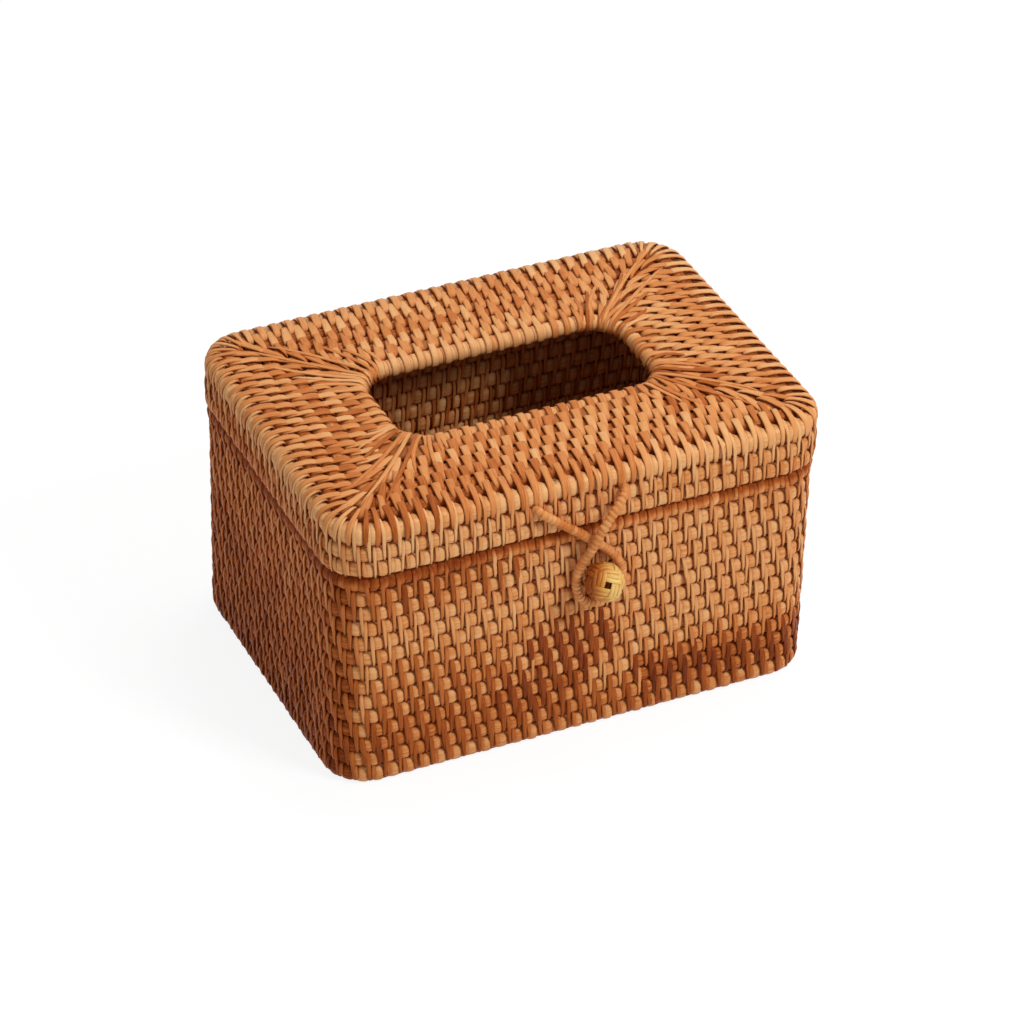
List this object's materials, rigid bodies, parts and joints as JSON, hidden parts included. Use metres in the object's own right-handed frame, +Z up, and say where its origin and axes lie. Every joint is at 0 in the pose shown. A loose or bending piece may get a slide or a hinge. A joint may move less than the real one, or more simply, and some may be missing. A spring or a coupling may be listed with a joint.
{
  "type": "tissue box cover",
  "caption": "Oblong tissue box cover of coiled and stitched cane, with a hinged lid, a slot in its top, and a cord loop that closes over a woven ball on the front.",
  "frame": {"origin": "middle of the flat face that the box stands on", "axes": "+Z up, X along the long side, the ball and the cord at the front, towards -Y"},
  "size_m": [0.219, 0.1731, 0.129],
  "materials": {
    "core_cane": "satin",
    "lashing_splint": "satin",
    "button_splint": "satin",
    "wrapped_cord": "satin"
  },
  "bodies": {
    "box": {"base_core": "core_cane", "base_course_1": "core_cane", "base_course_2": "core_cane", "base_course_3": "core_cane", "base_course_4": "core_cane", "base_course_5": "core_cane", "base_course_6": "core_cane", "base_course_7": "core_cane", "base_course_8": "core_cane", "base_course_9": "core_cane", "foot_course": "core_cane", "wall_course_01": "core_cane", "wall_course_02": "core_cane", "wall_course_03": "core_cane", "wall_course_04": "core_cane", "wall_course_05": "core_cane", "wall_course_06": "core_cane", "wall_course_07": "core_cane", "wall_course_08": "core_cane", "wall_course_09": "core_cane", "wall_course_10": "core_cane", "wall_course_11": "core_cane", "wall_course_12": "core_cane", "wall_rim": "core_cane", "button_tie": "button_splint", "button_ball": "button_splint"},
    "lid": {"lid_skirt_lower": "core_cane", "lid_skirt_middle": "core_cane", "lid_edge_course": "core_cane", "lid_top_course_1": "core_cane", "lid_top_course_2": "core_cane", "lid_top_course_3": "core_cane", "lid_top_course_4": "core_cane", "lid_top_course_5": "core_cane", "lid_top_course_6": "core_cane", "slot_binding": "core_cane", "hinge_lashing_left": "lashing_splint", "hinge_lashing_right": "lashing_splint"},
    "loop": {"closure_loop": "wrapped_cord"}
  },
  "joints": [
    {"name": "lid_hinge", "type": "hinge", "parent": "box", "child": "lid", "pos_m": [0, 0.0727, 0.0997], "axis": [-1, 0, 0], "range_deg": [0, 95]},
    {"name": "loop_swing", "type": "hinge", "parent": "lid", "child": "loop", "pos_m": [0, -0.0775, 0.1191], "axis": [-1, 0, 0], "range_deg": [0, 85], "deforming": ["closure_loop"]}
  ]
}
